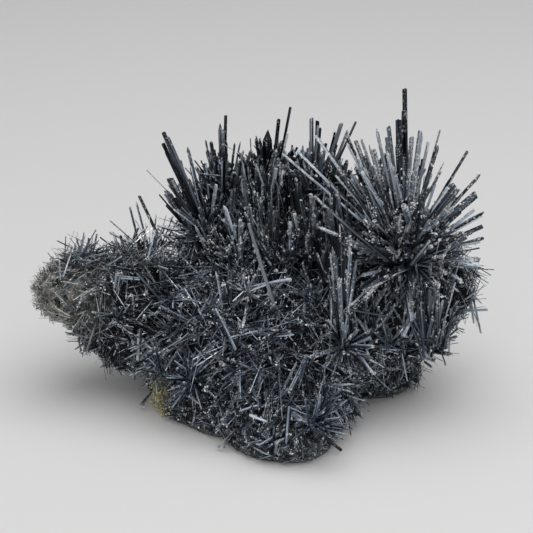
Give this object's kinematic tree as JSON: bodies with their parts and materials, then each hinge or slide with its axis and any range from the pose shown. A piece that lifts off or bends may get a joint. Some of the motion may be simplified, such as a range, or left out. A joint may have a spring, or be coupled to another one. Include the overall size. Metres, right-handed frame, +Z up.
{
  "type": "stibnite crystal spray",
  "caption": "Stibnite specimen: radiating sprays and upright stands of metallic prisms on a felted mass of fine needles, cut flat underneath to rest.",
  "frame": {"origin": "on the flat cut underneath, at the rest_face mount, near the middle of the specimen", "axes": "+Z up, +X along the specimen's length towards the great spray, -Y towards the front tongue"},
  "size_m": [0.1501, 0.1164, 0.109],
  "materials": {
    "felted_needles": "fine metallic needles, dull and dusty, grey to black",
    "prism": "striated blue-grey metallic prisms, glossy to tarnished",
    "pale_prism": "prisms with a pale mineral crust",
    "sulphur_stain": "powdery yellow stain"
  },
  "bodies": {
    "root": {"needle_mat": "felted_needles", "right_fan": "prism", "middle_spray": "prism", "great_spray": "prism", "back_stand_middle": "prism", "back_stand_left": "prism", "back_stand_right": "prism", "back_left_fan": "prism", "inner_bundle_left": "prism", "inner_bundle_right": "prism", "pale_prism": "pale_prism", "cross_needle": "prism", "white_star": "pale_prism", "blue_prism": "prism", "left_v_pair": "prism", "front_blades": "prism", "tongue_spray": "prism", "tongue_needle": "prism", "tongue_pair": "prism", "left_needle_1": "prism", "left_needle_2": "prism", "left_needle_3": "prism", "slope_spray_1": "prism", "slope_spray_2": "prism", "slope_spray_3": "prism", "slope_spray_4": "prism", "slope_spray_5": "prism", "slope_spray_6": "prism", "arm_spray_1": "prism", "arm_spray_2": "prism", "arm_spray_3": "prism", "foot_spray": "prism", "tongue_side_spray": "prism", "rear_spray_1": "prism", "rear_spray_2": "prism", "rear_spray_3": "prism", "rear_spray_4": "prism", "right_side_spray": "prism"}
  },
  "joints": []
}
